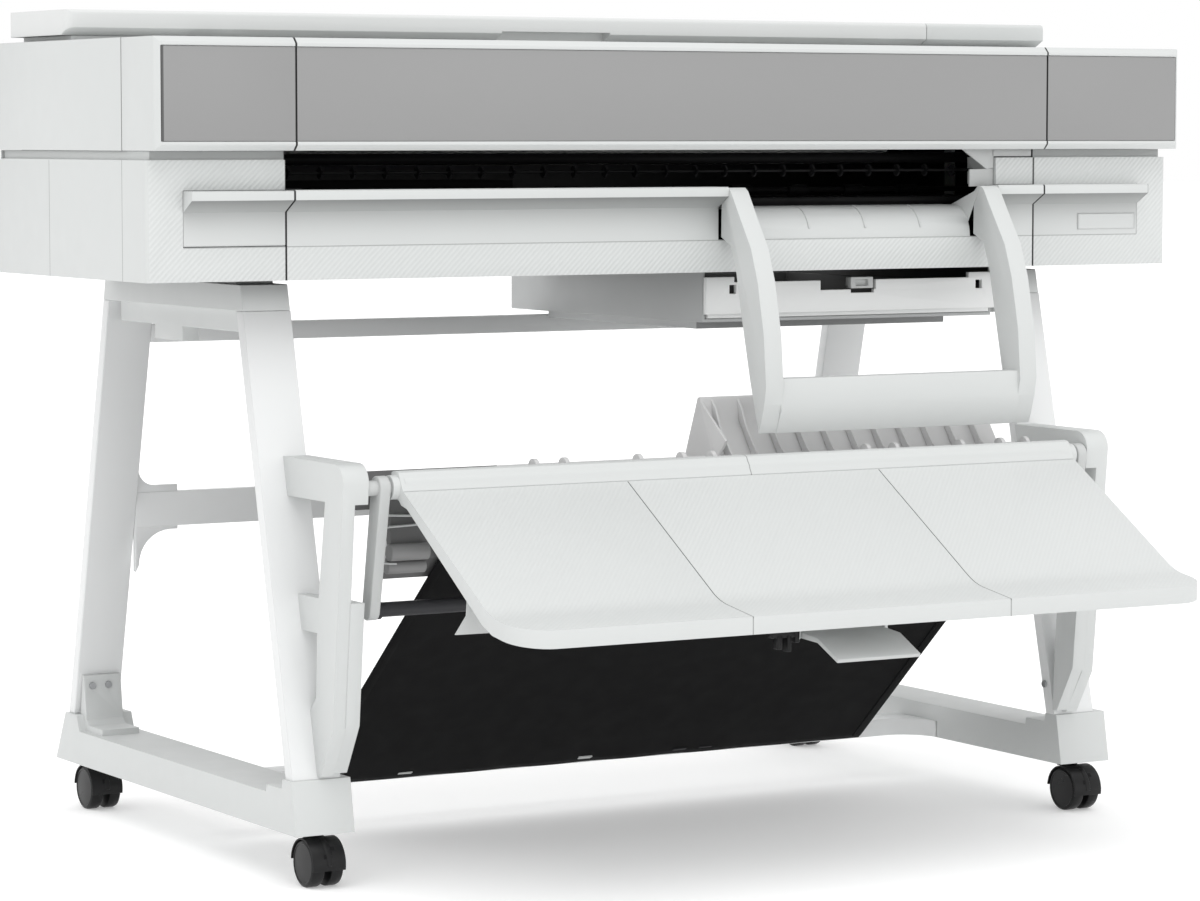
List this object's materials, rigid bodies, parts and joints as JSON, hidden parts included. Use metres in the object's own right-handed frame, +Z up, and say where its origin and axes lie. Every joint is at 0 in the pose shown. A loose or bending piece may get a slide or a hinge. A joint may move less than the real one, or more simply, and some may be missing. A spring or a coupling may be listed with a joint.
{
  "type": "large format plotter",
  "caption": "Wide-format inkjet plotter on a wheeled stand, with roll feed, cut-sheet tray, folding output bail and front stacker with a catch sheet.",
  "frame": {"origin": "on the floor under the centre of the object's bounding box", "axes": "+X along the width towards the control panel, +Y from the stacker at the front to the roll feed at the back, +Z up"},
  "size_m": [1.317, 0.951, 0.922],
  "materials": {
    "white_plastic": "fine matt texture",
    "pale_plastic": "fine matt texture",
    "grey_panel": "smooth satin",
    "mid_grey_plastic": "smooth satin",
    "white_painted_metal": "powder coat",
    "steel": "plated sheet",
    "dark_metal": "black paint",
    "dark_plastic": "moulded",
    "black_plastic": "moulded, semi-gloss",
    "black_gloss": "polished",
    "rubber": "ground rubber",
    "tyre": "hard rubber tread",
    "paper": "uncoated paper",
    "black_fabric": "fine woven sheet"
  },
  "bodies": {
    "root": {"base_pan": "steel", "left_lower_cover": "white_plastic", "right_lower_cover": "white_plastic", "front_ledge_cover": "white_plastic", "rear_cover": "white_plastic", "power_inlet": "black_plastic", "left_upper_cover": "white_plastic", "right_upper_cover": "white_plastic", "end_panels": "grey_panel", "rear_housing": "white_plastic", "side_frames": "steel", "platen": "black_plastic", "guide_rail": "steel", "carriage_belt": "rubber", "drive_motors": "dark_metal", "ink_cartridges": "dark_plastic", "service_station": "dark_plastic", "electronics_box": "steel", "output_ramp": "white_plastic", "sheet_tray_housing": "pale_plastic", "stand_caps": "white_plastic", "legs": "white_painted_metal", "feet": "white_plastic", "crossbars": "white_painted_metal", "stand_screws": "steel", "stacker_brackets": "white_plastic", "stacker_shaft": "pale_plastic", "deflector": "mid_grey_plastic", "catch_sheet": "black_fabric"},
    "front_window": {"front_window": "white_plastic", "window_panel": "grey_panel"},
    "roll_cover": {"roll_cover": "white_plastic"},
    "control_panel": {"control_panel": "white_plastic", "touch_screen": "black_gloss"},
    "power_button": {"power_button": "pale_plastic"},
    "cartridge_door": {"cartridge_door": "white_plastic"},
    "output_bail": {"output_bail": "white_plastic"},
    "sheet_tray": {"sheet_tray": "white_plastic"},
    "tray_latch": {"tray_latch": "pale_plastic"},
    "carriage": {"carriage": "dark_plastic"},
    "drive_pulley": {"drive_pulley": "steel"},
    "idler_pulley": {"idler_pulley": "steel"},
    "feed_roller": {"feed_roller": "rubber"},
    "pinch_rollers": {"pinch_rollers": "dark_plastic"},
    "star_wheels": {"star_wheels": "dark_plastic"},
    "paper_spindle": {"roll_spindle": "black_plastic", "spindle_hubs": "dark_plastic", "paper_roll": "paper"},
    "cutter": {"cutter": "dark_plastic"},
    "stacker_tray": {"stacker_tray": "white_plastic"},
    "swing_frame": {"swing_frame": "pale_plastic"},
    "flap": {"lower_handle": "pale_plastic"},
    "caster_fl": {"caster_fl": "black_plastic"},
    "wheels_fl": {"wheels_fl": "tyre"},
    "caster_fr": {"caster_fr": "black_plastic"},
    "wheels_fr": {"wheels_fr": "tyre"},
    "caster_rl": {"caster_rl": "black_plastic"},
    "wheels_rl": {"wheels_rl": "tyre"},
    "caster_rr": {"caster_rr": "black_plastic"},
    "wheels_rr": {"wheels_rr": "tyre"}
  },
  "joints": [
    {"name": "front_window_hinge", "type": "hinge", "parent": "root", "child": "front_window", "pos_m": [0, 0.1185, 0.8815], "axis": [-1, 0, 0], "range_deg": [0, 75]},
    {"name": "roll_cover_hinge", "type": "hinge", "parent": "root", "child": "roll_cover", "pos_m": [0, 0.2845, 0.8986], "axis": [-1, 0, 0], "range_deg": [0, 75]},
    {"name": "control_panel_tilt", "type": "hinge", "parent": "root", "child": "control_panel", "pos_m": [0, 0.2845, 0.8986], "axis": [-1, 0, 0], "range_deg": [0, 45]},
    {"name": "power_button_press", "type": "slide", "parent": "control_panel", "child": "power_button", "axis": [0, 0, 1], "range_m": [-0.001, 0], "stiffness_N_per_m": 300},
    {"name": "cartridge_door_hinge", "type": "hinge", "parent": "root", "child": "cartridge_door", "pos_m": [0, -0.0905, 0.6725], "axis": [1, 0, 0], "range_deg": [0, 80]},
    {"name": "bail_fold", "type": "hinge", "parent": "root", "child": "output_bail", "pos_m": [0, -0.1045, 0.72], "axis": [-1, 0, 0], "range_deg": [0, 100]},
    {"name": "sheet_tray_slide", "type": "slide", "parent": "root", "child": "sheet_tray", "axis": [0, -1, 0], "range_m": [0, 0.06]},
    {"name": "tray_latch_press", "type": "slide", "parent": "sheet_tray", "child": "tray_latch", "axis": [0, 0, 1], "range_m": [-0.003, 0], "stiffness_N_per_m": 400},
    {"name": "carriage_slide", "type": "slide", "parent": "root", "child": "carriage", "axis": [1, 0, 0], "range_m": [-1.04, 0]},
    {"name": "drive_pulley_spin", "type": "hinge", "parent": "root", "child": "drive_pulley", "pos_m": [-0.606, 0.0735, 0.81], "axis": [0, 1, 0], "continuous": true},
    {"name": "idler_pulley_spin", "type": "hinge", "parent": "root", "child": "idler_pulley", "pos_m": [0.606, 0.0735, 0.81], "axis": [0, 1, 0], "continuous": true},
    {"name": "feed_roller_spin", "type": "hinge", "parent": "root", "child": "feed_roller", "pos_m": [0, 0.0755, 0.704], "axis": [1, 0, 0], "continuous": true},
    {"name": "pinch_rollers_spin", "type": "hinge", "parent": "root", "child": "pinch_rollers", "pos_m": [0, 0.0755, 0.7224], "axis": [1, 0, 0], "continuous": true},
    {"name": "star_wheels_spin", "type": "hinge", "parent": "root", "child": "star_wheels", "pos_m": [0, -0.0455, 0.746], "axis": [1, 0, 0], "continuous": true},
    {"name": "paper_spindle_spin", "type": "hinge", "parent": "root", "child": "paper_spindle", "pos_m": [0, 0.2105, 0.81], "axis": [1, 0, 0], "continuous": true},
    {"name": "cutter_slide", "type": "slide", "parent": "root", "child": "cutter", "axis": [1, 0, 0], "range_m": [0, 0.85]},
    {"name": "stacker_tray_hinge", "type": "hinge", "parent": "root", "child": "stacker_tray", "pos_m": [0, -0.2055, 0.422], "axis": [1, 0, 0], "range_deg": [-30, 50]},
    {"name": "swing_frame_hinge", "type": "hinge", "parent": "root", "child": "swing_frame", "pos_m": [0, -0.2055, 0.422], "axis": [1, 0, 0], "range_deg": [-22, 0]},
    {"name": "flap_hinge", "type": "hinge", "parent": "stacker_tray", "child": "flap", "pos_m": [0, -0.3835, 0.263], "axis": [1, 0, 0], "range_deg": [-8, 60]},
    {"name": "caster_fl_swivel", "type": "hinge", "parent": "root", "child": "caster_fl", "pos_m": [-0.492, -0.1325, 0.06], "axis": [0, 0, 1], "continuous": true},
    {"name": "wheels_fl_roll", "type": "hinge", "parent": "caster_fl", "child": "wheels_fl", "pos_m": [-0.492, -0.1465, 0.025], "axis": [1, 0, 0], "continuous": true},
    {"name": "caster_fr_swivel", "type": "hinge", "parent": "root", "child": "caster_fr", "pos_m": [0.492, -0.1325, 0.06], "axis": [0, 0, 1], "continuous": true},
    {"name": "wheels_fr_roll", "type": "hinge", "parent": "caster_fr", "child": "wheels_fr", "pos_m": [0.492, -0.1465, 0.025], "axis": [1, 0, 0], "continuous": true},
    {"name": "caster_rl_swivel", "type": "hinge", "parent": "root", "child": "caster_rl", "pos_m": [-0.492, 0.4485, 0.06], "axis": [0, 0, 1], "continuous": true},
    {"name": "wheels_rl_roll", "type": "hinge", "parent": "caster_rl", "child": "wheels_rl", "pos_m": [-0.492, 0.4345, 0.025], "axis": [1, 0, 0], "continuous": true},
    {"name": "caster_rr_swivel", "type": "hinge", "parent": "root", "child": "caster_rr", "pos_m": [0.492, 0.4485, 0.06], "axis": [0, 0, 1], "continuous": true},
    {"name": "wheels_rr_roll", "type": "hinge", "parent": "caster_rr", "child": "wheels_rr", "pos_m": [0.492, 0.4345, 0.025], "axis": [1, 0, 0], "continuous": true}
  ],
  "couplings": [
    {"joint": "drive_pulley_spin", "follows": "carriage_slide", "rad_per_m": 89.286},
    {"joint": "idler_pulley_spin", "follows": "carriage_slide", "rad_per_m": 89.286},
    {"joint": "pinch_rollers_spin", "follows": "feed_roller_spin", "ratio": -2},
    {"joint": "star_wheels_spin", "follows": "feed_roller_spin", "ratio": -1.7143}
  ]
}
